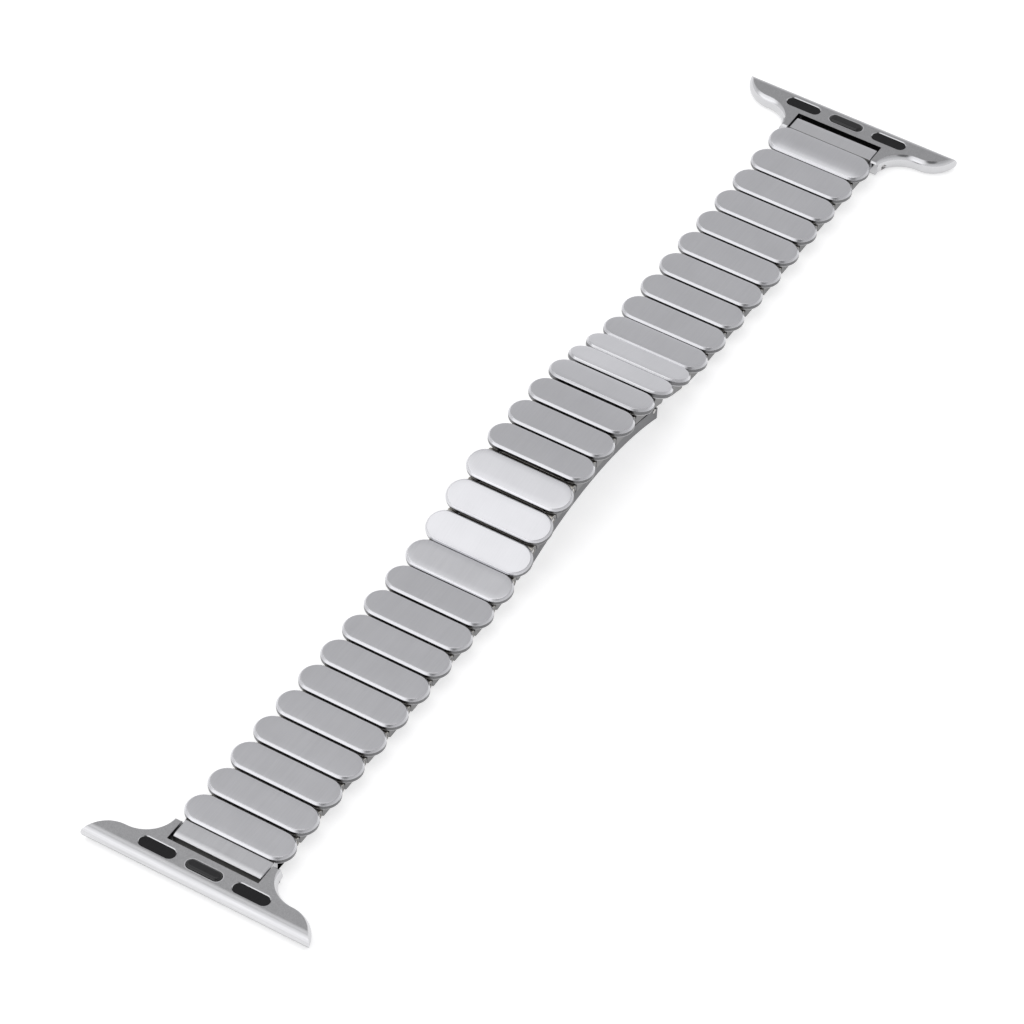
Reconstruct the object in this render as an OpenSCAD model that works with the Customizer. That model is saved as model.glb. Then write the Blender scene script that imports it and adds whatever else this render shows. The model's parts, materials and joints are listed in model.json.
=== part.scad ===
// Slim link watch bracelet: thirty pill-shaped links in two halves, joined by a hidden
// fold-over clasp and ended by two slide-in case adapters. It lies on a flat surface, closed.
// X runs along the band, Y across it, Z up. Units are millimetres.

/* [Links] */
// Distance between the pins of one link
link_pitch = 5.25; // [5.1:0.05:5.6]
// Length of the pill-shaped cap, across the band
pill_length = 15.9; // [15:0.1:18]
// Open gap between neighbouring caps when the band is straight
pill_gap = 0.35; // [0.3:0.05:0.6]
// Thickness of the cap
pill_thickness = 1.05; // [0.9:0.05:1.4]
// Radius of the polished rim along the upper edge of a cap
rim_radius = 0.42; // [0.2:0.02:0.5]
// Radius of the lower edge of a cap
lower_rim_radius = 0.22; // [0.1:0.02:0.3]
// Width of the link body under the cap, across the band
body_width = 13.2; // [12.6:0.1:14]
// Radius of the hinge knuckles
knuckle_radius = 0.8; // [0.75:0.01:0.85]
// Radius of the hinge pins
pin_radius = 0.4; // [0.3:0.01:0.45]
// Width of the middle knuckle
mid_knuckle_width = 9.8; // [6:0.1:10]
// Free gap between the middle knuckle and a side knuckle, where the bare pin shows
knuckle_side_gap = 0.5; // [0.1:0.05:0.8]

/* [Fits] */
// Radial play between a pin and the knuckle that turns on it
pin_play = 0.04; // [0.02:0.01:0.06]
// Radial play between a pin and the knuckles that hold it
pin_press_play = 0.01; // [0.01:0.005:0.015]
// Gap round a knuckle, and between parts that pass each other
running_gap = 0.12; // [0.08:0.01:0.15]

/* [Lie of the band] */
// Rise of the last link before the clasp, in degrees
approach_tilt = 6; // [5:1:7]
// Rise of the link on the fixed end of the clasp, in degrees
seam_tilt = 18; // [17:1:19]
// Rise of the link on the free end of the clasp, in degrees
catch_tilt = 19; // [18:1:20]
// Rise of the link after the free end of the clasp, in degrees
crest_tilt = 11; // [10:1:12]
// Rise of the next link, in degrees
top_tilt = 3; // [2:1:4]
// Fall of the first link beyond the top of the clasp, in degrees
first_fall = 13; // [12:1:14]
// Fall of the two links that follow, in degrees
second_fall = 17; // [16:1:18]
// Fall of the link that passes the far hinge of the clasp, in degrees
third_fall = 19; // [18:1:20]

/* [Clasp] */
// Width of the clasp over its side walls
clasp_width = 12.4; // [11.4:0.1:13]
// Height of the arch under the middle of the clasp
clasp_arch = 3; // [2.8:0.05:3.1]
// Thickness of the floor of the clasp base
floor_thickness = 0.8; // [0.7:0.05:0.9]
// Thickness of the folding arm
arm_thickness = 0.85; // [0.7:0.05:0.9]
// Thickness of each side wall of the clasp base
cheek_thickness = 0.8; // [0.6:0.05:1]
// Length of the window along the middle of the folding arm
arm_window_length = 17; // [10:0.5:19]
// Width of the window in the folding arm
arm_window_width = 4.4; // [3:0.1:6]
// Radius of the barrels of the far hinge
far_barrel_radius = 0.95; // [0.85:0.01:1]
// Radius of the knuckle on the free end of the arm, and of the ears that hold it
catch_radius = 0.68; // [0.6:0.01:0.7]

/* [Case adapters] */
// Overall width of an adapter, tip to tip
adapter_width = 34; // [32:0.5:40]
// Depth of an adapter, from its ear fronts to the outer edge of its rail
adapter_depth = 7.7; // [7.4:0.1:9]
// Thickness of an adapter
adapter_thickness = 2.4; // [2.3:0.05:2.6]
// How far the flanks of an adapter bulge out between their upper and lower edges
flank_bulge = 0.55; // [0.3:0.05:0.7]
// Depth of the notch between the ears
notch_depth = 3.5; // [3.4:0.1:3.8]
// Side clearance between the end link and the ears
tongue_gap = 0.2; // [0.1:0.05:0.3]
// Thickness of an ear across the band, at its front
ear_width = 1.35; // [1.1:0.05:1.4]
// Distance of the end pin behind the ear fronts
end_pin_setback = 1.3; // [1.1:0.05:1.4]
// Length of the slots for the pads and the latch
slot_length = 5.3; // [4.6:0.1:5.6]
// Width of the slots
slot_width = 1.75; // [1.5:0.05:1.9]
// Distance between the middles of neighbouring slots
slot_pitch = 7; // [6.6:0.1:7.4]
// Gap round the pads and the latch buttons in their slots
slot_clearance = 0.06; // [0.04:0.01:0.1]
// How far the latch button can be pushed in
latch_travel = 0.6; // [0.3:0.1:0.7]

/* [Hidden] */
// Arcs are drawn with this many facets in the preview
$fn = 48;
cut = 0.1; // extra length of a cutting tool past the face it opens

// Names of the separate pieces; link 1 is next to adapter a, link 30 next to adapter b
link_count = 30;
last_plain = 11; // last link of the plain half, on the fixed end of the clasp
function two_digits(i) = str(i < 10 ? "0" : "", i);

// Link, with its pins at height zero of its own frame
pill_width = link_pitch - pill_gap;
body_drop = knuckle_radius + 0.15; // pin line down to the underside of a link
pill_base = knuckle_radius + 0.05; // pin line up to the underside of the cap
pocket_radius = knuckle_radius + running_gap;
core_half = link_pitch / 2 - pocket_radius;
core_chamfer = 0.2;
web_half = 0.6; // half height of the web between a knuckle and the core
weld = 0.15; // depth by which joined shapes of one piece run into each other
side_knuckle_start = mid_knuckle_width / 2 + knuckle_side_gap;

// Lie of the band: tilt of each link, positive where it rises away from adapter a
rising = [approach_tilt, seam_tilt, catch_tilt, crest_tilt, top_tilt];
falling = [first_fall, second_fall, third_fall];
function rise_of(list, k = 0) = k < len(list) ? sin(list[k]) + rise_of(list, k + 1) : 0;
closing_fall = asin(rise_of(rising) - rise_of(falling));
first_rising = 10;
first_falling = 17;
function tilt(i) =
    i >= first_rising && i < first_rising + len(rising) ? rising[i - first_rising]
    : i >= first_falling && i < first_falling + len(falling) ? -falling[i - first_falling]
    : i == first_falling + len(falling) ? -closing_fall : 0;

// Pin positions: pin i joins link i to link i + 1, pins 0 and 30 carry the adapters
ear_to_pill = 0.4; // free gap between an ear front and the rim of the end link
end_reach = end_pin_setback + ear_to_pill + pill_width / 2;
function head_reach(i) = i == 1 ? end_reach : link_pitch / 2;
function tail_reach(i) = i == link_count ? end_reach : link_pitch / 2;
function run(i) = (head_reach(i) + tail_reach(i)) * cos(tilt(i));
function climb(i) = (head_reach(i) + tail_reach(i)) * sin(tilt(i));
function run_to(i) = i == 0 ? 0 : run_to(i - 1) + run(i);
function climb_to(i) = i == 0 ? 0 : climb_to(i - 1) + climb(i);
half_span = run_to(link_count) / 2;
function pin_x(i) = half_span - run_to(i);
function pin_z(i) = body_drop + climb_to(i);
// Middle of the cap of link i
function link_x(i) = pin_x(i) + tail_reach(i) * cos(tilt(i));
function link_z(i) = pin_z(i) - tail_reach(i) * sin(tilt(i));
// A point given in the frame of link i, as a point of the band
function from_link_x(i, x, z) = link_x(i) + x * cos(tilt(i)) + z * sin(tilt(i));
function from_link_z(i, x, z) = link_z(i) - x * sin(tilt(i)) + z * cos(tilt(i));

// Clasp
seam_x = pin_x(last_plain);
seam_z = pin_z(last_plain);
catch_link = last_plain + 1;
catch_drop = 2.1; // pin line of the catch link down to the catch pin
catch_x = from_link_x(catch_link, 0, -catch_drop);
catch_z = from_link_z(catch_link, 0, -catch_drop);
catch_pin_radius = 0.36;
catch_play = 0.06; // play of the catch pin in the slots of the base
clasp_end_setback = 2.3; // seam pin back to the fixed end of the base, where it meets the table
clasp_end_x = seam_x - clasp_end_setback;
far_hinge_link = 18; // the far hinge lies under the pin after this link
far_hinge_offset = 0.3;
far_hinge_x = pin_x(far_hinge_link) + far_hinge_offset;
far_hinge_lift = 0.05; // table up to the barrels of the far hinge
far_hinge_z = far_barrel_radius + far_hinge_lift;
far_pin_radius = 0.45;
clasp_mid_x = (clasp_end_x + far_hinge_x) / 2;
clasp_half = (clasp_end_x - far_hinge_x) / 2;
arch_radius = (clasp_half * clasp_half + clasp_arch * clasp_arch) / (2 * clasp_arch);
arch_centre_z = clasp_arch - arch_radius;
floor_top = arch_radius + floor_thickness;
arm_under = floor_top + running_gap;
arm_top = arm_under + arm_thickness;
cheek_rise = 0.08; // top of the arm up to the top of the side walls
cheek_top = arm_top + cheek_rise;
cheek_inner = clasp_width / 2 - cheek_thickness;
arm_half_width = cheek_inner - running_gap;
neck_half_width = 3.4; // narrow end of the arm between the barrels of the base
far_lug_inner = neck_half_width + running_gap;
catch_ear_thickness = 0.75;
ear_outer = cheek_inner - running_gap;
ear_inner = ear_outer - catch_ear_thickness;
catch_knuckle_half = ear_inner - running_gap;
catch_link_front = 1; // the catch link's body stops here, clear of the seam lug
arm_neck_length = 2.3; // far hinge to the full width of the arm
lug_thickness = 0.9; // lug that carries the seam hinge
lug_root_inset = 0.5; // fixed end of the base in to the root of the lug
lug_root_height = 0.55;

// Adapter, in a frame with its end pin at zero and the rail outwards along X
notch_half = body_width / 2 + tongue_gap;
shoulder = 3.9; // ear front to the back of the wings
wing_radius = 4.7; // rounding of a wing towards its tip
wing_centre = shoulder + wing_radius;
wing_y = adapter_width / 2 - sqrt(pow(wing_radius, 2) - pow(wing_centre - adapter_depth, 2));
ear_front_y = notch_half + ear_width;
flank_radius = min(shoulder + 0.2, wing_y - ear_front_y); // hollow between an ear and its wing
flank_y = ear_front_y + flank_radius;
rail_radius = adapter_thickness / 2;
flank_round = (pow(rail_radius, 2) + pow(flank_bulge, 2)) / (2 * flank_bulge); // radius of the bulge
slot_inset = 2.35; // outer edge of the rail in to the middle line of the slots
slot_setback = adapter_depth - slot_inset;
ear_chamfer = 0.25;
end_pin_radius = 0.5;
end_pin_sink = 0.25; // end of the pin below the flank
flank_at_pin = end_pin_setback - shoulder + flank_radius;
end_pin_half = flank_y - sqrt(pow(flank_radius, 2) - pow(flank_at_pin, 2)) - end_pin_sink;
latch_flange_margin = 0.35; // how far the latch's flange stands out round its stem
latch_flange_thickness = 0.4;
latch_rest_room = 0.85; // height of the chamber with the latch pushed fully in
latch_room = latch_travel + latch_rest_room;
latch_proud = 0.3; // how far the latch stands out of the top face
latch_plate_thickness = 0.3;
latch_plate_recess = 0.05;
latch_crown = 0.4; // rounding along the upper edge of the latch
latch_foot_radius = 0.05; // rounding where the stem stands on the flange
pad_recess = 0.12;
pressed_gap = 0.01; // gap round the pads and the cover plate, which are pressed in
spring_leaf = 0.1; // thickness of the latch's leaf spring
spring_gap = 0.02; // top of the leaf spring up to the latch's flange
spring_end_gap = 0.2; // end of the slot in to the end of the spring
tongue_tip = 1.55; // end pin out to the edge of the tongue
tongue_rise = 1.4; // end pin up to the top of the tongue at the cap
tongue_edge_rise = 1.3;
tongue_chamfer = 0.3;

// A stadium outline, its length along Y
module stadium(length, width) {
    square([width, length - width], center = true);
    for (end = [-1, 1]) translate([0, end * (length - width) / 2]) circle(d = width);
}

// Right half of a slab's cross-section with rounded upper and lower edges
module rounded_half(half_width, height, top_radius, foot_radius) {
    translate([0, foot_radius]) square([half_width, height - top_radius - foot_radius]);
    square([half_width - foot_radius, foot_radius]);
    translate([0, height - top_radius]) square([half_width - top_radius, top_radius]);
    intersection() {
        translate([half_width - foot_radius, foot_radius]) circle(foot_radius);
        translate([half_width - foot_radius, 0]) square(foot_radius);
    }
    intersection() {
        translate([half_width - top_radius, height - top_radius]) circle(top_radius);
        translate([half_width - top_radius, height - top_radius]) square(top_radius);
    }
}

// A pill-shaped slab with rounded edges, its length along Y, standing on height zero
module pill(length, width, height, top_radius, foot_radius) {
    straight = length - width;
    rotate([90, 0, 0]) linear_extrude(straight, center = true)
        for (side = [0, 1]) mirror([side, 0])
            rounded_half(width / 2, height, top_radius, foot_radius);
    for (end = [0, 1]) mirror([0, end, 0]) translate([0, straight / 2, 0])
        rotate_extrude(angle = 180) rounded_half(width / 2, height, top_radius, foot_radius);
}

// A round bar or bore across the band
module cross_bar(x, z, radius, from, to) {
    translate([x, to, z]) rotate([90, 0, 0]) cylinder(r = radius, h = to - from);
}

// An outline drawn in X and Z, extruded across the band from one Y to another
module across(from, to) {
    translate([0, to, 0]) rotate([90, 0, 0]) linear_extrude(to - from) children();
}

// The same, on both sides of the middle
module across_both(from, to) {
    across(from, to) children();
    across(-to, -from) children();
}

// A knuckle on a web that runs back into the core
module knuckle(x, radius) {
    translate([x, 0]) circle(radius);
    back = abs(x) - core_half + weld;
    translate([x > 0 ? x - back : x, -web_half]) square([back, 2 * web_half]);
}

// Core of a link between two X positions, with chamfered lower edges
module core(from, to) {
    polygon([
        [from, pill_base + weld], [from, core_chamfer - body_drop],
        [from + core_chamfer, -body_drop], [to - core_chamfer, -body_drop],
        [to, core_chamfer - body_drop], [to, pill_base + weld]
    ]);
}

// Tongue of an end link, reaching round the end pin
module tongue() {
    tip = end_reach + tongue_tip;
    polygon([
        [0, -body_drop], [tip - tongue_chamfer, -body_drop], [tip, tongue_chamfer - body_drop],
        [tip, tongue_edge_rise - tongue_chamfer], [tip - tongue_chamfer, tongue_edge_rise],
        [pill_width / 2 - weld, tongue_rise], [0, tongue_rise]
    ]);
}

// Ear of the catch link, down to the catch pin
module catch_ear() {
    translate([0, -catch_drop]) circle(catch_radius);
    translate([-catch_radius, -catch_drop]) square([2 * catch_radius, catch_drop - body_drop + weld]);
}

// One link in its own frame: the plain half hangs on the link or clasp part before it
module link_shape(i) {
    front = i == catch_link ? catch_link_front : core_half;
    body_half = body_width / 2;
    difference() {
        union() {
            translate([0, 0, pill_base])
                pill(pill_length, pill_width, pill_thickness, rim_radius, lower_rim_radius);
            across(-body_half, body_half) core(-core_half, front);
            if (i == 1) across(-body_half, body_half) tongue();
            if (i == link_count) across(-body_half, body_half) mirror([1, 0]) tongue();
            if (i != link_count && i != last_plain)
                across(-mid_knuckle_width / 2, mid_knuckle_width / 2)
                    knuckle(-link_pitch / 2, knuckle_radius);
            if (i == last_plain)
                across_both(side_knuckle_start, body_half) knuckle(-link_pitch / 2, knuckle_radius);
            if (i != 1 && i != catch_link)
                across_both(side_knuckle_start, body_half) knuckle(link_pitch / 2, knuckle_radius);
            if (i == catch_link) across_both(ear_inner, ear_outer) catch_ear();
        }
        bore_end = body_half + cut;
        if (i == 1) cross_bar(end_reach, 0, end_pin_radius + pin_play, -bore_end, bore_end);
        if (i == link_count)
            cross_bar(-end_reach, 0, end_pin_radius + pin_play, -bore_end, bore_end);
        if (i != link_count) cross_bar(-link_pitch / 2, 0,
            pin_radius + (i == last_plain ? pin_press_play : pin_play), -bore_end, bore_end);
        if (i != 1 && i != catch_link)
            cross_bar(link_pitch / 2, 0, pin_radius + pin_press_play, -bore_end, bore_end);
        if (i == catch_link)
            cross_bar(0, -catch_drop, catch_pin_radius + pin_press_play, -bore_end, bore_end);
    }
}

// A link where it lies, with the pin that it carries at its side knuckles
module link(i) {
    translate([link_x(i), 0, link_z(i)]) rotate([0, tilt(i), 0]) {
        color([0.72, 0.72, 0.73]) link_shape(i);
        if (i != 1 && i != catch_link)
            color([0.62, 0.62, 0.64])
                cross_bar(link_pitch / 2, 0, pin_radius, -body_width / 2, body_width / 2);
    }
}

// Part of a ring round the arch's centre, between two X positions
module arch_band(inner, outer, from_x, to_x) {
    intersection() {
        translate([clasp_mid_x, arch_centre_z]) difference() {
            circle(outer, $fn = 180);
            circle(inner, $fn = 180);
        }
        translate([from_x, 0]) square([to_x - from_x, 2 * clasp_arch + cheek_top - arch_radius]);
    }
}

// Curved channel that lies against the wrist: floor, side walls, hinge barrels and seam lug
module clasp_base() {
    half_width = clasp_width / 2;
    lug_root_x = clasp_end_x - lug_root_inset;
    lug_length = norm([seam_x - lug_root_x, seam_z - lug_root_height]);
    lug_angle = atan2(seam_z - lug_root_height, seam_x - lug_root_x);
    lug_half = mid_knuckle_width / 2;
    slot_half = catch_pin_radius + catch_play;
    color([0.66, 0.66, 0.68]) difference() {
        union() {
            across(-half_width, half_width)
                arch_band(arch_radius, floor_top, far_hinge_x, clasp_end_x);
            across_both(cheek_inner, half_width)
                arch_band(arch_radius, cheek_top, far_hinge_x, clasp_end_x);
            across_both(far_lug_inner, half_width)
                translate([far_hinge_x, far_hinge_z]) circle(far_barrel_radius);
            across(-lug_half, lug_half) {
                translate([seam_x, seam_z]) circle(knuckle_radius);
                translate([lug_root_x, lug_root_height]) rotate(lug_angle)
                    translate([0, -lug_thickness / 2]) square([lug_length, lug_thickness]);
            }
        }
        cross_bar(far_hinge_x, far_hinge_z, far_barrel_radius + running_gap,
            -far_lug_inner, far_lug_inner);
        cross_bar(far_hinge_x, far_hinge_z, far_pin_radius + pin_press_play,
            -half_width - cut, half_width + cut);
        cross_bar(seam_x, seam_z, pin_radius + pin_play, -lug_half - cut, lug_half + cut);
        across_both(cheek_inner - cut, half_width + cut) translate([catch_x, catch_z]) {
            circle(slot_half);
            translate([-slot_half, 0]) square([2 * slot_half, cheek_top - arch_radius]);
        }
    }
}

// Folding arm, nested in the channel, with the catch knuckle on its free end
module clasp_arm() {
    wide_start = far_hinge_x + arm_neck_length;
    wide_end = catch_x - catch_radius - 2 * running_gap;
    window_x = (wide_start + wide_end) / 2;
    color([0.7, 0.7, 0.72]) difference() {
        union() {
            across(-arm_half_width, arm_half_width)
                arch_band(arm_under, arm_top, wide_start, wide_end);
            across(-neck_half_width, neck_half_width) {
                arch_band(arm_under, arm_top, far_hinge_x, wide_start + weld);
                translate([far_hinge_x, far_hinge_z]) circle(far_barrel_radius);
            }
            across(-catch_knuckle_half, catch_knuckle_half) {
                arch_band(arm_under, arm_top, wide_end - weld, catch_x);
                translate([catch_x, catch_z]) circle(catch_radius);
            }
        }
        cross_bar(far_hinge_x, far_hinge_z, far_pin_radius + pin_play,
            -neck_half_width - cut, neck_half_width + cut);
        cross_bar(catch_x, catch_z, catch_pin_radius + pin_play,
            -catch_knuckle_half - cut, catch_knuckle_half + cut);
        translate([window_x, 0, 0]) linear_extrude(2 * clasp_arch + arm_top - arch_radius)
            rotate(90) stadium(arm_window_length, arm_window_width);
    }
}

module clasp_hinge_pin() {
    color([0.6, 0.6, 0.62])
        cross_bar(far_hinge_x, far_hinge_z, far_pin_radius, -clasp_width / 2, clasp_width / 2);
}

module seam_pin() {
    color([0.6, 0.6, 0.62]) cross_bar(seam_x, seam_z, pin_radius, -body_width / 2, body_width / 2);
}

// The pin that joins the catch link to the arm; its ends snap into the slots of the base
module catch_pin() {
    color([0.6, 0.6, 0.62])
        cross_bar(catch_x, catch_z, catch_pin_radius, -clasp_width / 2, clasp_width / 2);
}

// Puts an adapter piece on its end pin: side 1 at link 1, side -1 at link 30
module at_end(side) {
    translate([pin_x(side > 0 ? 0 : link_count), 0, pin_z(side > 0 ? 0 : link_count) - body_drop])
        rotate(side > 0 ? 0 : 180) translate([-end_pin_setback, 0, 0]) children();
}

// Section of a wing, from its middle out to its bulging flank
module wing_section() {
    flat = wing_radius - flank_round;
    intersection() {
        union() {
            square([flat, adapter_thickness]);
            translate([flat, rail_radius]) circle(flank_round);
        }
        square([wing_radius + cut, adapter_thickness]);
    }
}

// Waisted tool that hollows one side of an adapter and leaves the bulge of the flank on it
module flank_tool() {
    rotate(180) rotate_extrude(angle = 180) difference() {
        translate([0, -cut]) square([flank_radius + flank_round, adapter_thickness + 2 * cut]);
        translate([flank_radius + flank_round, rail_radius]) circle(flank_round);
    }
}

// Ear and wing on one side of an adapter, reaching past its rail and the middle
module adapter_half() {
    difference() {
        union() {
            across(-weld, flank_y) square([wing_centre, adapter_thickness]);
            across(0, wing_y) translate([wing_centre, 0]) mirror([1, 0]) wing_section();
            translate([wing_centre, wing_y, 0]) rotate_extrude(angle = 180) wing_section();
        }
        translate([shoulder - flank_radius, flank_y, 0]) flank_tool();
    }
}

// Side view of an adapter: flat plate with a full round rail along its outer edge
module adapter_profile() {
    flat = adapter_depth - rail_radius;
    polygon([
        [0, ear_chamfer], [ear_chamfer, 0], [flat, 0], [flat, adapter_thickness],
        [ear_chamfer, adapter_thickness], [0, adapter_thickness - ear_chamfer]
    ]);
    translate([flat, rail_radius]) circle(rail_radius);
}

// Plan of the latch's chamber, less a gap all round
module chamber_plan(gap = 0) {
    margin = 2 * (latch_flange_margin + slot_clearance - gap);
    stadium(slot_length + margin, slot_width + margin);
}

module adapter(side) {
    half_width = adapter_width / 2;
    color([0.7, 0.7, 0.71]) at_end(side) difference() {
        intersection() {
            for (half = [0, 1]) mirror([0, half, 0]) adapter_half();
            across(-half_width - cut, half_width + cut) adapter_profile();
        }
        translate([-cut, -notch_half, -cut])
            cube([notch_depth + cut, 2 * notch_half, adapter_thickness + 2 * cut]);
        for (slot = [-1:1]) translate([slot_setback, slot * slot_pitch, -cut])
            linear_extrude(adapter_thickness + 2 * cut) stadium(slot_length, slot_width);
        translate([slot_setback, 0, -cut]) linear_extrude(latch_room + cut) chamber_plan();
        cross_bar(end_pin_setback, body_drop, end_pin_radius + pin_press_play,
            -half_width, half_width);
    }
}

module end_pin(side) {
    color([0.6, 0.6, 0.62]) at_end(side)
        cross_bar(end_pin_setback, body_drop, end_pin_radius, -end_pin_half, end_pin_half);
}

// Two soft pads in the outer slots
module grip_pads(side) {
    color([0.1, 0.1, 0.11]) at_end(side)
        for (slot = [-1, 1]) translate([slot_setback, slot * slot_pitch, pad_recess])
            linear_extrude(adapter_thickness - 2 * pad_recess)
                stadium(slot_length - 2 * pressed_gap, slot_width - 2 * pressed_gap);
}

// Latch button: flange in the chamber, stem through the slot, crowned top
module latch_button(side) {
    stem_length = slot_length - 2 * slot_clearance;
    stem_width = slot_width - 2 * slot_clearance;
    flange_z = latch_room - slot_clearance - latch_flange_thickness;
    color([0.06, 0.06, 0.07]) at_end(side) translate([slot_setback, 0, flange_z]) {
        linear_extrude(latch_flange_thickness) chamber_plan(2 * slot_clearance);
        pill(stem_length, stem_width, adapter_thickness + latch_proud - flange_z,
            latch_crown, latch_foot_radius);
    }
}

// Bowed leaf between the cover plate and the latch's flange
module latch_spring(side) {
    seat_z = latch_plate_recess + latch_plate_thickness;
    bow = latch_room - slot_clearance - latch_flange_thickness - spring_gap - seat_z;
    half_length = slot_length / 2 - spring_end_gap;
    outer = (half_length * half_length + bow * bow) / (2 * bow);
    half_width = slot_width / 2;
    color([0.75, 0.74, 0.7]) at_end(side) translate([slot_setback, 0, seat_z + bow - outer])
        rotate([90, 0, 90]) linear_extrude(2 * half_width, center = true) intersection() {
            difference() {
                circle(outer, $fn = 120);
                circle(outer - spring_leaf, $fn = 120);
            }
            translate([-half_length, outer - bow]) square([2 * half_length, bow]);
        }
}

// Cover plate that closes the latch's chamber from below
module latch_plate(side) {
    color([0.68, 0.68, 0.7]) at_end(side) translate([slot_setback, 0, latch_plate_recess])
        linear_extrude(latch_plate_thickness) chamber_plan(pressed_gap);
}

link(1);  // link_01
link(2);  // link_02
link(3);  // link_03
link(4);  // link_04
link(5);  // link_05
link(6);  // link_06
link(7);  // link_07
link(8);  // link_08
link(9);  // link_09
link(10);  // link_10
link(11);  // link_11
link(12);  // link_12
link(13);  // link_13
link(14);  // link_14
link(15);  // link_15
link(16);  // link_16
link(17);  // link_17
link(18);  // link_18
link(19);  // link_19
link(20);  // link_20
link(21);  // link_21
link(22);  // link_22
link(23);  // link_23
link(24);  // link_24
link(25);  // link_25
link(26);  // link_26
link(27);  // link_27
link(28);  // link_28
link(29);  // link_29
link(30);  // link_30
clasp_base();
clasp_arm();
clasp_hinge_pin();
seam_pin();
catch_pin();
adapter(1);  // adapter_a
end_pin(1);  // end_pin_a
grip_pads(1);  // grip_pads_a
latch_button(1);  // latch_button_a
latch_spring(1);  // latch_spring_a
latch_plate(1);  // latch_plate_a
adapter(-1);  // adapter_b
end_pin(-1);  // end_pin_b
grip_pads(-1);  // grip_pads_b
latch_button(-1);  // latch_button_b
latch_spring(-1);  // latch_spring_b
latch_plate(-1);  // latch_plate_b
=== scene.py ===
import json
import math

import bmesh
import bpy
import numpy as np
from mathutils import Matrix, Vector


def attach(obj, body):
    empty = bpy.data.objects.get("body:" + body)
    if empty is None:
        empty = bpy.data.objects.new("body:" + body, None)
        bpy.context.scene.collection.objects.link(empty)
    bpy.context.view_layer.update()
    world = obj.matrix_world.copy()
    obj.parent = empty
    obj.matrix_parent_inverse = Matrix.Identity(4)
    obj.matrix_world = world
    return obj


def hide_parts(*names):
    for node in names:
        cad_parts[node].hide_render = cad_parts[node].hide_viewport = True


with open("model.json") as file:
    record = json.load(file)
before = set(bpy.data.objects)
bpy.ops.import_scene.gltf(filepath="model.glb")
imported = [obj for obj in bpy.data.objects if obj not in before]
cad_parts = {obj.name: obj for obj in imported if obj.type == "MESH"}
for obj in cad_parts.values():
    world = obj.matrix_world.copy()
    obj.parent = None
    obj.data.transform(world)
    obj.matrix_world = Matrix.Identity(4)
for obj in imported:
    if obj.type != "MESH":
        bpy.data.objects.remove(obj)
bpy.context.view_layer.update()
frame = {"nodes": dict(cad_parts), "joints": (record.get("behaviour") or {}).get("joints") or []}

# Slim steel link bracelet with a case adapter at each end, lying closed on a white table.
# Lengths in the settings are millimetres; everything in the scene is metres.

mm = 0.001
tiny = 1e-6             # keeps divisions away from zero
far = 9e9               # a reach past anything
mergeReach = 1e-7       # metres within which points count as one
nodes = frame["nodes"]
joints = {joint["name"]: joint for joint in frame["joints"]}
print("scene: frame loaded,", len(nodes), "nodes")


# grids and shells

def gridFaces(rows, cols, wrapRows=False):
    # quads between neighbouring rows and columns; the columns always close on themselves
    r = np.arange(rows if wrapRows else rows - 1)[:, None]
    c = np.arange(cols)[None, :]
    nextR = (r + 1) % rows
    nextC = (c + 1) % cols
    return np.stack([r * cols + c, r * cols + nextC, nextR * cols + nextC, nextR * cols + c],
                    axis=-1).reshape(-1, 4)


def outward(verts, faces):
    # six times the enclosed volume is the sum of a . (b x c) over the triangles;
    # where it is negative, the faces are turned
    a, b, c, d = (verts[faces[:, k]] for k in range(4))
    volume = np.sum(a * np.cross(b, c)) + np.sum(a * np.cross(c, d))
    return faces if volume > 0 else faces[:, ::-1]


def gridShell(x, y, z, wrapRows=False):
    # the points of a grid of rows and columns, and the faces between them
    verts = np.stack([x, y, z], axis=-1).reshape(-1, 3)
    return verts, outward(verts, gridFaces(*x.shape, wrapRows))


def stadiumShell(halfStraight, rho, height, arcSteps=20):
    # a profile (rho, z) carried round a stadium: x = rho cos t, y = +-s + rho sin t,
    # with +s while t runs over the first half turn and -s over the second
    t = np.concatenate([np.linspace(0, math.pi, arcSteps + 1),
                        np.linspace(math.pi, 2 * math.pi, arcSteps + 1)])
    s = np.repeat([halfStraight, -halfStraight], arcSteps + 1)
    reach = rho[:, None]
    return gridShell(reach * np.cos(t), s + reach * np.sin(t),
                     np.repeat(height[:, None], len(t), axis=1))


def ringsShell(centre, radius, t, rowY, wrapRows=False):
    # rings round a line along Y, each at its own y: x = cx + r cos t, z = cz + r sin t
    y = np.repeat(np.array(rowY)[:, None], len(t), axis=1)
    return gridShell(centre[0] + radius * np.cos(t), y, centre[1] + radius * np.sin(t), wrapRows)


def ringShell(centre, outer, bore, low, high, edge, steps=56):
    # a bored bar along Y: r goes from the bore out to outer(t) on one end face, along the
    # outside, and back in to the bore on the other end face
    t = np.arange(steps) * 2 * math.pi / steps
    r = outer(t)
    rows = [(bore, low), (r - edge, low), (r, low + edge),
            (r, high - edge), (r - edge, high), (bore, high)]
    radius = np.stack([np.broadcast_to(row[0], t.shape) for row in rows])
    return ringsShell(centre, radius, t, [row[1] for row in rows], wrapRows=True)


def prismShell(outline, low, high, edge):
    # an outline in X and Z carried along Y, drawn in by the edge on both end faces
    # and closed there on its middle
    outline = np.asarray(outline, float)
    middle = outline.mean(axis=0)
    away = outline - middle
    inset = middle + away * (1 - edge / np.linalg.norm(away, axis=1, keepdims=True))
    point = np.repeat(middle[None, :], len(outline), axis=0)
    rows = [(point, low), (inset, low), (outline, low + edge),
            (outline, high - edge), (inset, high), (point, high)]
    flat = np.stack([row[0] for row in rows])
    y = np.repeat(np.array([row[1] for row in rows])[:, None], len(outline), axis=1)
    return gridShell(flat[..., 0], y, flat[..., 1])


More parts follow.
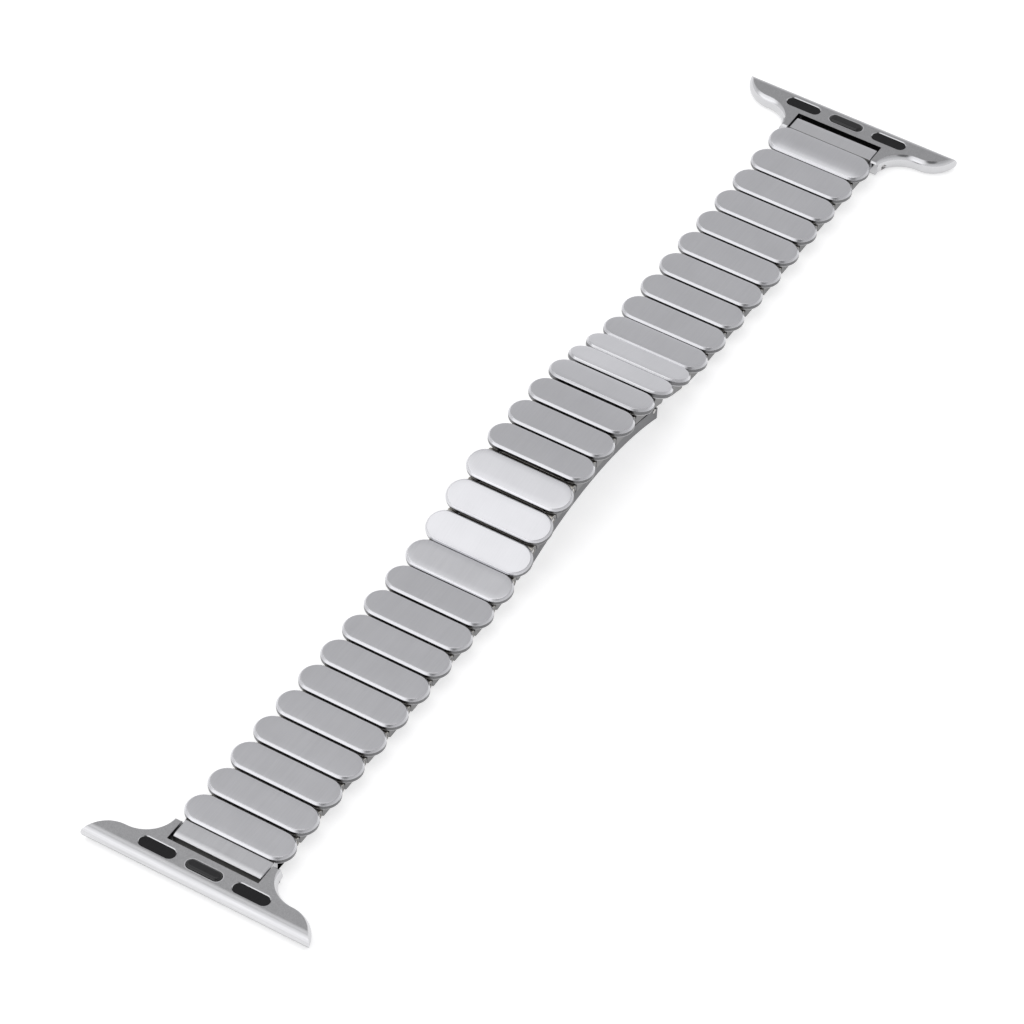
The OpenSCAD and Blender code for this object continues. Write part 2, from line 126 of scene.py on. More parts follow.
def barShell(centre, radius, low, high, dome, steps=28, domeSteps=5):
    # a pin along Y with a low dome at each end: r = radius sin a, and y lies dome (1 - cos a)
    # in from the end
    a = np.linspace(0, math.pi / 2, domeSteps)
    r = radius * np.concatenate([np.sin(a), np.sin(a)[::-1]])
    y = np.concatenate([low + dome * (1 - np.cos(a)), high - dome * (1 - np.cos(a))[::-1]])
    t = np.arange(steps) * 2 * math.pi / steps
    return ringsShell(centre, r[:, None], t, y)


def joined(shells):
    # several shells as one set of points and faces
    offsets = np.cumsum([0] + [len(v) for v, f in shells[:-1]])
    return (np.vstack([v for v, f in shells]),
            np.vstack([f + k for (v, f), k in zip(shells, offsets)]))


def makePiece(name, verts, faces, materials, pick=None, sharp=30):
    # verts in millimetres of the row frame; pick gives each face's material number
    mesh = bpy.data.meshes.new(name)
    mesh.from_pydata((verts * mm).tolist(), [], faces.tolist())
    for material in materials:
        mesh.materials.append(material)
    if pick is not None:
        mesh.polygons.foreach_set("material_index", pick.astype(np.int32))
    work = bmesh.new()
    work.from_mesh(mesh)
    bmesh.ops.remove_doubles(work, verts=work.verts, dist=mergeReach)
    bmesh.ops.dissolve_degenerate(work, edges=work.edges, dist=mergeReach / 10)
    work.to_mesh(mesh)
    work.free()
    mesh.polygons.foreach_set("use_smooth", np.ones(len(mesh.polygons), dtype=bool))
    mesh.set_sharp_from_angle(angle=math.radians(sharp))
    mesh.update()
    piece = bpy.data.objects.new(name, mesh)
    bpy.context.scene.collection.objects.link(piece)
    return piece


# materials

steelSettings = {
    # brush: how often the grain repeats along X, Y and Z, in lines per metre; grain and tone:
    # how far it moves the roughness and the colour; bump: how strongly it shows as relief
    "satinCap": {"colour": (0.63, 0.63, 0.65), "roughness": 0.30, "grain": 0.025, "tone": 0.035,
                 "brush": (150, 6500, 150), "bump": 0.085},
    "polishedRim": {"colour": (0.65, 0.65, 0.67), "roughness": 0.25, "grain": 0.04, "tone": 0.03,
                    "brush": (900, 900, 900), "bump": 0.1},
    # painted shade: the side wall's dark colour stands in for the shade and dark reflections
    # along the caps' sides
    "shadedCapSide": {"colour": (0.17, 0.17, 0.175), "roughness": 0.28, "grain": 0.05, "tone": 0.08,
                "brush": (2200, 2200, 2200), "bump": 0.2},
    "satinTongue": {"colour": (0.61, 0.61, 0.625), "roughness": 0.30, "grain": 0.025,
                    "tone": 0.035, "brush": (120, 5600, 120), "bump": 0.085},
    # painted shadow: the dark colour of the tongue's front and of its seam by the cap
    "shadedTongueFront": {"colour": (0.10, 0.098, 0.095), "roughness": 0.42, "grain": 0.05,
                    "tone": 0.12, "brush": (2500, 2500, 2500), "bump": 0.25},
    "satinInside": {"colour": (0.50, 0.50, 0.51), "roughness": 0.33, "grain": 0.05, "tone": 0.06,
                    "brush": (5200, 90, 90), "bump": 0.2},
    # painted shade: the body's dark colour stands in for the shade in the gaps between the caps;
    # the blasting gives its roughness
    "blastedShadedBody": {"colour": (0.24, 0.239, 0.24), "roughness": 0.42, "grain": 0.08, "tone": 0.13,
                    "brush": (2500, 2500, 2500), "bump": 0.35},
    "turnedKnuckle": {"colour": (0.52, 0.50, 0.46), "roughness": 0.36, "grain": 0.06,
                      "tone": 0.10, "brush": (3200, 160, 3200), "bump": 0.3},
    "pinSteel": {"colour": (0.60, 0.59, 0.58), "roughness": 0.16, "grain": 0.04, "tone": 0.05,
                 "brush": (3000, 40, 3000), "bump": 0.15},
    "claspSteel": {"colour": (0.44, 0.44, 0.455), "roughness": 0.28, "grain": 0.06, "tone": 0.09,
                   "brush": (45, 4200, 45), "bump": 0.25},
    "springSteel": {"colour": (0.55, 0.53, 0.48), "roughness": 0.2, "grain": 0.05, "tone": 0.08,
                    "brush": (4000, 60, 4000), "bump": 0.2},
}
noiseSpan = (0.3, 0.7)      # where most values of a noise lie
sumSpan = (0.7, 1.3)        # and those of two noises added
grainDepth = 0.004          # depth of drawn grain
cloudScale = 190            # broad unevenness of the tone, per metre


def noiseLines(tree, place, scale, detail=3.0):
    # noise over a place's coordinates, stretched by a scale for each axis
    stretch = tree.nodes.new("ShaderNodeMapping")
    stretch.inputs["Scale"].default_value = scale
    lines = tree.nodes.new("ShaderNodeTexNoise")
    lines.inputs["Scale"].default_value = 1.0
    lines.inputs["Detail"].default_value = detail
    tree.links.new(place, stretch.inputs["Vector"])
    tree.links.new(stretch.outputs["Vector"], lines.inputs["Vector"])
    return lines.outputs["Fac"]


def around(middle, reach):
    return middle - reach, middle + reach


def ranged(tree, value, span, to, smooth=False):
    # maps one span of values to another and holds its ends
    part = tree.nodes.new("ShaderNodeMapRange")
    if smooth:
        part.interpolation_type = "SMOOTHSTEP"
    for socket, end in zip(("From Min", "From Max", "To Min", "To Max"), (*span, *to)):
        part.inputs[socket].default_value = end
    tree.links.new(value, part.inputs["Value"])
    return part.outputs["Result"]


def feed(tree, socket, value):
    # a number is written into the socket, anything else is linked to it
    if isinstance(value, (int, float)):
        socket.default_value = value
    else:
        tree.links.new(value, socket)


def worked(tree, operation, *values):
    part = tree.nodes.new("ShaderNodeMath")
    part.operation = operation
    for socket, value in zip(part.inputs, values):
        feed(tree, socket, value)
    return part.outputs["Value"]


def product(tree, first, *others):
    for other in others:
        first = worked(tree, "MULTIPLY", first, other)
    return first


def remainder(tree, value):
    return worked(tree, "SUBTRACT", 1.0, value)


def beyond(tree, value, limit):
    # what a value has past its limit: max(value - limit, 0)
    return worked(tree, "MAXIMUM", worked(tree, "SUBTRACT", value, limit), 0.0)


def hypotenuse(tree, a, b):
    # sqrt(a^2 + b^2)
    return worked(tree, "SQRT", worked(tree, "ADD", product(tree, a, a), product(tree, b, b)))


def blended(tree, factor, first, second):
    part = tree.nodes.new("ShaderNodeMix")
    feed(tree, part.inputs["Factor"], factor)
    feed(tree, part.inputs["A"], first)
    feed(tree, part.inputs["B"], second)
    return part.outputs["Result"]


def split(tree, place):
    # outputs X, Y and Z of a place or direction
    part = tree.nodes.new("ShaderNodeSeparateXYZ")
    tree.links.new(place, part.inputs["Vector"])
    return part.outputs


def newMaterial(name, metallic=0.0):
    # a material, its tree and shader, and the place of a point on the piece
    material = bpy.data.materials.new(name)
    material.use_nodes = True
    tree = material.node_tree
    shader = tree.nodes["Principled BSDF"]
    shader.inputs["Metallic"].default_value = metallic
    return material, tree, shader, tree.nodes.new("ShaderNodeTexCoord").outputs["Object"]


def toned(tree, colour, shade, shader):
    # the colour times an uneven shade
    tint = tree.nodes.new("ShaderNodeVectorMath")
    tint.operation = "SCALE"
    tint.inputs[0].default_value = colour
    tree.links.new(shade, tint.inputs["Scale"])
    tree.links.new(tint.outputs["Vector"], shader.inputs["Base Color"])


def bumped(tree, height, strength, depth, shader):
    bump = tree.nodes.new("ShaderNodeBump")
    bump.inputs["Strength"].default_value = strength
    bump.inputs["Distance"].default_value = depth * mm
    tree.links.new(height, bump.inputs["Height"])
    tree.links.new(bump.outputs["Normal"], shader.inputs["Normal"])


def steel(name, s):
    # metal with drawn grain: noise stretched along one axis moves the roughness, the tone and
    # a fine bump, and a broad cloud moves the tone as well
    material, tree, shader, place = newMaterial(name, metallic=1.0)
    lines = noiseLines(tree, place, s["brush"])
    cloud = noiseLines(tree, place, (cloudScale,) * 3, 2.0)
    rough = ranged(tree, lines, noiseSpan, around(s["roughness"], s["grain"]))
    tree.links.new(rough, shader.inputs["Roughness"])
    mixed = worked(tree, "ADD", lines, cloud)
    toned(tree, s["colour"], ranged(tree, mixed, sumSpan, around(1, s["tone"])), shader)
    bumped(tree, lines, s["bump"], grainDepth, shader)
    return material


steels = {name: steel(name, s) for name, s in steelSettings.items()}

blackSettings = {
    "padRubber": {"colour": (0.010, 0.010, 0.011), "roughness": 0.6, "specular": 0.22,
                  "coat": 0.0, "grit": (1100, 5200, 1100), "depth": 0.05},
    "latchBlack": {"colour": (0.006, 0.006, 0.007), "roughness": 0.2, "specular": 0.35,
                   "coat": 0.3, "grit": (1500, 1500, 1500), "depth": 0.001},
}
blackShared = {"coatRoughness": 0.08, "grain": 0.15, "tone": 0.4, "relief": 0.5}


def blackSolid(name, s, shared):
    # black plastic or rubber: fine noise in the bump and a slightly uneven roughness
    material, tree, shader, place = newMaterial(name)
    shader.inputs["Specular IOR Level"].default_value = s["specular"]
    shader.inputs["Coat Weight"].default_value = s["coat"]
    shader.inputs["Coat Roughness"].default_value = shared["coatRoughness"]
    grit = noiseLines(tree, place, s["grit"])
    rough = around(s["roughness"], shared["grain"] * s["roughness"])
    tree.links.new(ranged(tree, grit, noiseSpan, rough), shader.inputs["Roughness"])
    toned(tree, s["colour"], ranged(tree, grit, noiseSpan, around(1, shared["tone"])), shader)
    bumped(tree, grit, shared["relief"], s["depth"], shader)
    return material


blacks = {name: blackSolid(name, s, blackShared) for name, s in blackSettings.items()}

adapterSettings = {
    "colour": (0.60, 0.60, 0.61),
    "blasted": 0.36,        # roughness of the top and the underside
    "drawn": 0.40,          # roughness of the rail
    "worn": 0.05,           # how far both move
    "polished": 0.11,       # roughness of the flanks, ears and notch
    "wiped": 0.03,          # how far that moves
    "grit": 6500,
    "draw": (4200, 70, 4200),
    "speckle": (0.08, 0.55),    # how far noise moves the tone, polished and blasted
    "relief": 0.35,
    "reliefDepth": 0.005,
    "flatStart": 84.79,     # distance from the middle of the band where the rail begins to round
    "halfHeight": 1.2,
    "skinFrom": (-0.05, -0.025),    # from where under the skin a point counts as on it
    "railFrom": (-0.03, 0.25),      # distance past flatStart over which the drawn lines set in
    "flatShade": 0.71,      # the blasted faces are duller than the polished ones
    # painted highlight: the rail's colour is raised above the plain steel by this
    "railHighlight": 1.12,
    "railFade": 0.8,        # length over which the one passes into the other
    "underShade": 0.6,      # painted shade: how much the rail's colour darkens towards its underside,
    "underFrom": (0.15, 1.0),   # and between which shares of half its height
    "footShade": 0.4,       # the same painted shade for the flanks at their lower edge
    "footFrom": (0.08, 0.4),
    "notchHalf": 6.93,      # half width of the notch, a hair past its side walls
    "notchEnd": 81.85,      # distance from the middle of the band just past the notch's end wall
    # painted shade: the notch's walls are darkened by this
    "notchShade": 0.3,
    "slotMiddle": 83.64,    # distance from the middle of the band
    "slotPitch": 7.0,
    "slotStraight": 1.775,  # half the straight part of a slot
    "slotRadius": 0.875,
    "slotBevel": 0.12,      # bevel round the two outer slots
    "slotPolish": 0.15,     # polished border round the latch's slot
    "slotSoft": 0.85,       # share of that border that is fully polished
}


def adapterMaterial(s):
    # three finishes on one piece, told apart by place. The flat faces and the round rail are the
    # points that lie halfHeight from the line |x| = flatStart, z = halfHeight, or from its inner
    # side: r = sqrt(max(|x| - flatStart, 0)^2 + (z - halfHeight)^2). They are blasted, and drawn
    # along Y where they turn into the rail; everything inside that skin is polished
    material, tree, shader, place = newMaterial("adapterSteel", metallic=1.0)
    x, y, z = split(tree, place)
    along, across = worked(tree, "ABSOLUTE", x), worked(tree, "ABSOLUTE", y)
    half = s["halfHeight"] * mm
    past = beyond(tree, along, s["flatStart"] * mm)
    reach = hypotenuse(tree, past, worked(tree, "SUBTRACT", z, half))
    skin = ranged(tree, reach, [half + v * mm for v in s["skinFrom"]], (0.0, 1.0))
    rail = ranged(tree, along, [(s["flatStart"] + v) * mm for v in s["railFrom"]], (0.0, 1.0),
                  smooth=True)

    grit = noiseLines(tree, place, (s["grit"],) * 3, 4.0)
    pattern = blended(tree, rail, grit, noiseLines(tree, place, s["draw"]))
    dull = worked(tree, "ADD", blended(tree, rail, s["blasted"], s["drawn"]),
                  ranged(tree, pattern, noiseSpan, around(0, s["worn"])))
    bright = ranged(tree, grit, noiseSpan, around(s["polished"], s["wiped"]))
    tree.links.new(blended(tree, skin, bright, dull), shader.inputs["Roughness"])

    # the polished border round the latch's slot: its distance from the slot's outline is
    # sqrt(max(|y| - straight, 0)^2 + (|x| - middle)^2) - radius
    aside = worked(tree, "SUBTRACT", along, s["slotMiddle"] * mm)
    gap = hypotenuse(tree, beyond(tree, across, s["slotStraight"] * mm), aside)
    gap = worked(tree, "SUBTRACT", gap, s["slotRadius"] * mm)
    border = s["slotPolish"] * mm
    plain = ranged(tree, gap, (s["slotSoft"] * border, border), (0.0, 1.0))
    blasted = product(tree, skin, plain)

    # the tone of the blasted faces, the painted highlight on the rail, and the painted shade
    # on the notch's walls, on the rail's underside and on the flanks' lower edge
    fade = ranged(tree, past, (0.0, s["railFade"] * mm), (1.0, 0.0), smooth=True)
    skinShade = ranged(tree, fade, (0.0, 1.0), (s["railHighlight"], s["flatShade"]))
    onSkin = product(tree, blasted, worked(tree, "SUBTRACT", skinShade, 1.0))
    inNotch = product(tree, worked(tree, "LESS_THAN", across, s["notchHalf"] * mm),
                      worked(tree, "LESS_THAN", along, s["notchEnd"] * mm), remainder(tree, skin))
    under = product(tree, skin, worked(tree, "GREATER_THAN", past, 0.0),
                    ranged(tree, z, [v * half for v in s["underFrom"]], (s["underShade"], 0.0),
                           smooth=True))
    foot = product(tree, remainder(tree, skin),
                   ranged(tree, z, [v * half for v in s["footFrom"]], (s["footShade"], 0.0),
                          smooth=True))
    shade = product(tree, ranged(tree, inNotch, (0.0, 1.0), (1.0, s["notchShade"])),
                    worked(tree, "ADD", onSkin, 1.0),
                    remainder(tree, worked(tree, "ADD", under, foot)))
    speckle = product(tree, worked(tree, "SUBTRACT", pattern, 0.5),
                      ranged(tree, skin, (0.0, 1.0), s["speckle"]))
    toned(tree, s["colour"], product(tree, worked(tree, "ADD", speckle, 1.0), shade), shader)
    bumped(tree, product(tree, pattern, blasted), s["relief"], s["reliefDepth"], shader)
    return material


claspSettings = {
    "colour": (0.44, 0.44, 0.455),
    "roughness": 0.26,
    "grain": 0.06,
    "brush": (45, 4200, 45),
    "grit": 2400,
    "tone": 0.07,
    "relief": 0.2,
    "sideRough": 0.16,      # the side walls are tumbled: rougher by this
    "sideShade": 0.42,      # and darker by this: painted shade
    "halfWidth": 6.2,
    "skin": 0.06,           # depth of the layer that counts as side wall
}


def claspMaterial(s):
    # drawn faces, and side walls that are told apart by their distance from the middle plane and
    # get painted shade
    material, tree, shader, place = newMaterial("claspBaseSteel", metallic=1.0)
    across = worked(tree, "ABSOLUTE", split(tree, place)["Y"])
    wall = worked(tree, "GREATER_THAN", across, (s["halfWidth"] - s["skin"]) * mm)
    lines = noiseLines(tree, place, s["brush"])
    grit = noiseLines(tree, place, (s["grit"],) * 3)
    drawn = ranged(tree, lines, noiseSpan, around(s["roughness"], s["grain"]))
    rough = worked(tree, "ADD", drawn, product(tree, wall, s["sideRough"]))
    tree.links.new(rough, shader.inputs["Roughness"])
    mixed = ranged(tree, worked(tree, "ADD", lines, grit), sumSpan, around(1, s["tone"]))
    # painted shade on the side walls
    sides = ranged(tree, wall, (0.0, 1.0), (1.0, s["sideShade"]))
    toned(tree, s["colour"], product(tree, mixed, sides), shader)
    bumped(tree, lines, s["relief"], grainDepth, shader)
    return material


adapterSteel = adapterMaterial(adapterSettings)
claspBaseSteel = claspMaterial(claspSettings)
print("scene: materials made")


# links

linkSettings = {
    "pitch": 5.25,
    "endReach": 4.15,       # middle of an end link to its end pin
    "count": 30,
    "capLength": 15.9,
    "capWidth": 4.9,
    "capBase": 0.85,        # pin line up to the underside of the cap
    "capThickness": 1.05,
    "lowerRim": 0.22,
    "bodyWidth": 13.2,
    "bodyDrop": 0.95,
    "coreHalf": 1.705,
    "coreChamfer": 0.2,
    "knuckle": 0.8,
    "web": 0.6,
    "weld": 0.15,           # how far one form of a link reaches into the next
    "pin": 0.4,
    "pinDome": 0.12,
    "bore": 0.41,
    "midBore": 0.44,        # the middle knuckle turns on the pin
    "midHalf": 4.9,
    "sideStart": 5.4,
    "seamLink": 11,         # its tail carries the seam pin
    "catchLink": 12,        # its ears carry the catch pin
    "catchFront": 1.0,
    "catchDrop": 2.1,
    "catchRadius": 0.68,
    "catchBore": 0.37,
    "earInner": 4.53,
    "earOuter": 5.28,
    "tongueTip": 1.55,
    "shorter": 0.3,         # the last link's tongue leaves a wider gap in front of it
    "tongueRise": 1.4,
    "tongueRound": 0.26,
    "tongueSide": 0.12,
    "tongueCrown": 1.0,     # length over which the tongue's face falls towards its front
    "tongueSettle": 0.06,   # what it falls before that
    "tongueSteps": 360,
    "endBore": 0.54,
    "edge": 0.05,           # softening of the sharp edges
    "firstSlope": 0.42,     # share of its height that the first cap loses to its inner long edge
    "firstFall": 1.5,       # how late that slope sets in
    "firstLift": 0.26,      # and by which it is thicker than the others before that
    "seams": {1: 0.62, -1: 0.08},   # reach of the painted shade along the seam from the cap over either tongue
    "hair": 0.02,           # what a face may lie off a plane and still count as on it
}

# the edge of a face: how far it is crowned, and the bright bevel outside the crown
capEdge = {"start": 1.25, "drop": 0.024, "round": 0.12, "tilt": 48, "bevel": 0.31}
tongueEdge = {"drop": 0.08, "round": 0.10, "tilt": 50, "bevel": 0.14,
              "brow": 0.04}         # how far over the bevel's foot the painted shadow on the front begins
turnSteps = 4           # on either side of a bevel
crownSteps = 8
plainSteps = 4          # from the middle of a cap to its crown
footSteps = 5           # round its lower rim

firstHinges = ["hinge_%02d" % i for i in range(1, linkSettings["seamLink"])]
lastHinges = ["hinge_%02d" % i for i in range(linkSettings["catchLink"], linkSettings["count"])]
pinNames = ["adapter_a_hinge"] + firstHinges + ["seam_hinge"] + lastHinges + ["adapter_b_hinge"]
pins = np.array([[joints[name]["pos_m"][axis] for axis in (0, 2)] for name in pinNames]) / mm


def linkPlace(i):
    # middle of link i and its tilt, from the two pins that it lies between
    head, tail = pins[i - 1], pins[i]
    along = (head - tail) / np.linalg.norm(head - tail)
    last = i == linkSettings["count"]
    return tail + along * (linkSettings["endReach"] if last else linkSettings["pitch"] / 2), along


def placed(verts, i):
    # link frame to row frame: x runs along the link, z stands on it
    middle, along = linkPlace(i)
    x, y, z = verts.T
    return np.stack([middle[0] + x * along[0] - z * along[1], y,
                     middle[1] + x * along[1] + z * along[0]], axis=-1)


def crownedEdge(e, start, end, top):
    # distances and heights over the edge of a face: from start it falls as drop times the square
    # of the share of the way, then turns from that slope to the bevel's tilt, runs along the
    # bevel and turns to upright. Every step of length l at tilt t adds l cos t to the distance
    # and takes l sin t off the height
    bevel = math.radians(e["tilt"])
    crown = end - start - e["round"] - e["bevel"] * math.cos(bevel)
    slope = math.atan(2 * e["drop"] / crown)
    first, second = (bevel - slope) / turnSteps, (math.pi / 2 - bevel) / turnSteps
    k = np.arange(turnSteps) + 0.5
    tilts = np.concatenate([slope + first * k, [bevel], bevel + second * k])
    chords = 2 * e["round"] * np.sin(np.repeat([first, second], turnSteps) / 2)
    steps = np.insert(chords, turnSteps, e["bevel"])
    out = np.cumsum(steps * np.cos(tilts))
    down = np.cumsum(steps * np.sin(tilts))
    share = np.linspace(0, 1, crownSteps)
    crownEnd = end - out[-1]
    return (np.concatenate([start + (crownEnd - start) * share, crownEnd + out]),
            np.concatenate([top - e["drop"] * share ** 2, top - e["drop"] - down]))


def capShell(s, e):
    # the crowned face and its edge, and under them the upright side, the small lower rounding
    # and the flat underside. A face's finish goes by its row: satin to the end of the crown,
    # polished to the middle of the second turn, then the side, whose dark colour is painted
    # shade, and last the underside
    radius = s["capWidth"] / 2
    foot = s["lowerRim"]
    top = s["capBase"] + s["capThickness"]
    edgeRho, edgeHeight = crownedEdge(e, e["start"], radius, top)
    b = np.linspace(0, math.pi / 2, footSteps)
    rho = np.concatenate([e["start"] * np.arange(plainSteps) / plainSteps, edgeRho,
                          radius - foot + foot * np.cos(b), [0]])
    height = np.concatenate([[top] * plainSteps, edgeHeight,
                             s["capBase"] + foot - foot * np.sin(b), [s["capBase"]]])
    verts, faces = stadiumShell((s["capLength"] - s["capWidth"]) / 2, rho, height)
    row = np.arange(len(faces)) // (len(faces) // (len(rho) - 1))
    crownEnd = plainSteps + crownSteps - 1
    rimEnd = crownEnd + turnSteps + 1 + turnSteps // 2
    sideEnd = rimEnd + turnSteps // 2 + 1
    return verts, faces, np.select([row < crownEnd, row < rimEnd, row < sideEnd], [0, 1, 2], 3)


def slopedAway(verts, s):
    # height above the underside times (1 + lift) (1 - slope (rho / radius)^fall (1 - cos t) / 2),
    # where rho is the distance from the cap's middle line and t the direction there, so that
    # only one long side falls
    radius = s["capWidth"] / 2
    straight = (s["capLength"] - s["capWidth"]) / 2
    x, y, z = verts.T
    rho = np.hypot(x, np.maximum(np.abs(y) - straight, 0))
    cosine = np.where(rho > tiny, x / np.maximum(rho, tiny), 0)
    loss = s["firstSlope"] * (rho / radius) ** s["firstFall"] * (1 - cosine) / 2
    lifted = (z - s["capBase"]) * (1 + s["firstLift"]) * (1 - loss)
    return np.stack([x, y, s["capBase"] + lifted], axis=-1)


def knuckleRadius(s, toward):
    # seen from its pin a knuckle is round, and square where its web runs to the core
    reach = s["pitch"] / 2 - s["coreHalf"] + s["weld"]

    def outer(t):
        c, d = np.cos(t) * toward, np.abs(np.sin(t))
        web = np.minimum(np.where(d > tiny, s["web"] / np.maximum(d, tiny), far),
                         np.where(c > tiny, reach / np.maximum(c, tiny), far))
        return np.where(c > 0, np.maximum(s["knuckle"], web), s["knuckle"])
    return outer


def earRadius(s):
    # seen from its pin a catch ear is round below, and above it a strap up into the core
    reach = s["catchDrop"] - s["bodyDrop"] + s["weld"]

    def outer(t):
        up, across = np.sin(t), np.abs(np.cos(t))
        strap = np.minimum(s["catchRadius"] / np.maximum(across, tiny),
                           reach / np.maximum(up, tiny))
        return np.where(up > 0, np.maximum(s["catchRadius"], strap), s["catchRadius"])
    return outer


def bothSides(inner, outer):
    return (-outer, -inner), (inner, outer)


def bodyShells(i, s):
    # the core under the cap, its knuckles at either pin, and the catch link's ears
    half, edge = s["bodyWidth"] / 2, s["edge"]
    tail, head = (-s["pitch"] / 2, 0), (s["pitch"] / 2, 0)
    back = s["coreHalf"]
    front = s["catchFront"] if i == s["catchLink"] else back
    top, low, cut = s["capBase"] + s["weld"], -s["bodyDrop"], s["coreChamfer"]
    core = [(-back, top), (-back, low + cut), (-back + cut, low),
            (front - cut, low), (front, low + cut), (front, top)]
    shells = [prismShell(core, -half, half, edge)]
    sides = bothSides(s["sideStart"], half)
    if i not in (s["count"], s["seamLink"]):
        shells.append(ringShell(tail, knuckleRadius(s, 1), s["midBore"],
                                -s["midHalf"], s["midHalf"], edge))
    if i == s["seamLink"]:
        shells += [ringShell(tail, knuckleRadius(s, 1), s["bore"], a, b, edge) for a, b in sides]
    if i not in (1, s["catchLink"]):
        shells += [ringShell(head, knuckleRadius(s, -1), s["bore"], a, b, edge) for a, b in sides]
    if i == s["catchLink"]:
        shells += [ringShell((0, -s["catchDrop"]), earRadius(s), s["catchBore"], a, b, edge)
                   for a, b in bothSides(s["earInner"], s["earOuter"])]
    return shells


def roundedCorner(corner, before, after, radius, steps=7):
    # arc that touches both sides of a corner: it starts and ends at radius / tan(half the
    # corner's angle) from the corner, and its middle lies on the bisector
    u = (before - corner) / np.linalg.norm(before - corner)
    v = (after - corner) / np.linalg.norm(after - corner)
    half = math.acos(float(np.clip(u @ v, -1, 1))) / 2
    middle = corner + (u + v) / np.linalg.norm(u + v) * radius / math.sin(half)
    start = corner + u * radius / math.tan(half) - middle
    stop = corner + v * radius / math.tan(half) - middle
    k = np.linspace(0, 1, steps)[:, None]
    chord = start * (1 - k) + stop * k
    return middle + chord / np.linalg.norm(chord, axis=1, keepdims=True) * radius


def crossing(outline, t):
    # radius at which the rays at angles t first cross a closed outline, seen from zero:
    # with a side from a to b and d = ray x (b - a), r = a x (b - a) / d and k = a x ray / d
    side = (np.roll(outline, -1, axis=0) - outline)[None, :, :]
    a = outline[None, :, :]
    ray = np.stack([np.cos(t), np.sin(t)], axis=-1)[:, None, :]
    det = ray[..., 0] * side[..., 1] - ray[..., 1] * side[..., 0]
    det = np.where(np.abs(det) < tiny / 1000, tiny / 1000, det)
    r = (a[..., 0] * side[..., 1] - a[..., 1] * side[..., 0]) / det
    k = (a[..., 0] * ray[..., 1] - a[..., 1] * ray[..., 0]) / det
    hit = (r > 0) & (k > -tiny) & (k < 1 + tiny)
    return np.where(hit, r, far).min(axis=1)


def tongueShell(s, e, way):
    # the tongue's outline seen from its pin, as a radius for every angle, round the bore
    tip = s["endReach"] + s["tongueTip"] - (s["shorter"] if way < 0 else 0)
    low, pinX = -s["bodyDrop"], s["endReach"] * way
    corners = np.array([(0, low), (tip, low), (tip, 0)])
    lowerFront = roundedCorner(corners[1], corners[0], corners[2], s["tongueRound"])
    front = np.stack(crownedEdge(e, tip - s["tongueCrown"], tip,
                                 s["tongueRise"] - s["tongueSettle"]), axis=-1)
    line = np.vstack([corners[:1], lowerFront, front[::-1],
                      [(s["capWidth"] / 2 - s["weld"], s["tongueRise"]), (0, s["tongueRise"])]])
    outline = line * (way, 1) - (pinX, 0)
    half = s["bodyWidth"] / 2
    verts, faces = ringShell((pinX, 0), lambda t: crossing(outline, t), s["endBore"],
                             -half, half, s["tongueSide"], steps=s["tongueSteps"])
    middle = verts[faces].mean(axis=1)
    outside = np.isin(np.arange(len(faces)) // s["tongueSteps"], (1, 2, 3))
    seam = middle[:, 0] * way < s["capWidth"] / 2 + s["seams"][way]
    # the dark front material on these faces is painted shadow on the front below the bevel and
    # painted shade along the seam by the cap
    dull = outside & (seam | (middle[:, 2] < front[-1, 1] + e["brow"]))
    underside = outside & (middle[:, 2] < low + s["hair"])
    return verts, faces, np.where(underside, 2, np.where(dull, 1, 0))


def dressLink(i, s):
    # cap and underbody, a tongue on the end links, and the pin that is pressed into the link
    node = body = "link_%02d" % i
    verts, faces, pick = capShell(s, capEdge)
    if i == 1:
        verts = slopedAway(verts, s)
    finishes = [steels[key] for key in ("satinCap", "polishedRim", "shadedCapSide", "satinInside")]
    cap = makePiece("cap_%02d" % i, placed(verts, i), faces, finishes, pick)
    verts, faces = joined(bodyShells(i, s))
    half = s["bodyWidth"] / 2
    inside = verts[faces][:, :, 2].max(axis=1) < s["hair"] - s["bodyDrop"]
    middle = np.abs(verts[faces].mean(axis=1))
    turned = (middle[:, 0] > s["coreHalf"] + s["hair"]) & (middle[:, 1] < half - s["hair"])
    # the body's dark colour is painted shade in the gaps between the caps
    finishes = [steels[key] for key in ("blastedShadedBody", "satinInside", "turnedKnuckle")]
    pick = np.where(inside, 1, np.where(turned, 2, 0))
    under = makePiece("underbody_%02d" % i, placed(verts, i), faces, finishes, pick)
    pieces = [cap, under]
    if i in (1, s["count"]):
        verts, faces, pick = tongueShell(s, tongueEdge, 1 if i == 1 else -1)
        finishes = [steels[key] for key in ("satinTongue", "shadedTongueFront", "satinInside")]
        pieces.append(makePiece("tongue_%02d" % i, placed(verts, i), faces, finishes, pick))
    if i not in (1, s["catchLink"]):
        verts, faces = barShell((s["pitch"] / 2, 0), s["pin"], -half, half, s["pinDome"])
        pieces.append(makePiece("pin_%02d" % i, placed(verts, i), faces, [steels["pinSteel"]]))
    for piece in pieces:
        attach(piece, body)
        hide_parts(node)


for i in range(1, linkSettings["count"] + 1):
    dressLink(i, linkSettings)
print("scene: links dressed")


# adapters

cutSettings = {
    "level": 0.9999,        # height of a unit normal from which a face counts as flat
    "flatAngle": 0.1,       # degrees
    "onOutline": 0.02,      # how near a rim's points lie to the slot's outline
    "onTop": 0.005,         # and to the top face
    "rimAngle": 57,         # degrees by which the faces turn at a rim, at least
    "sharp": 30,
}


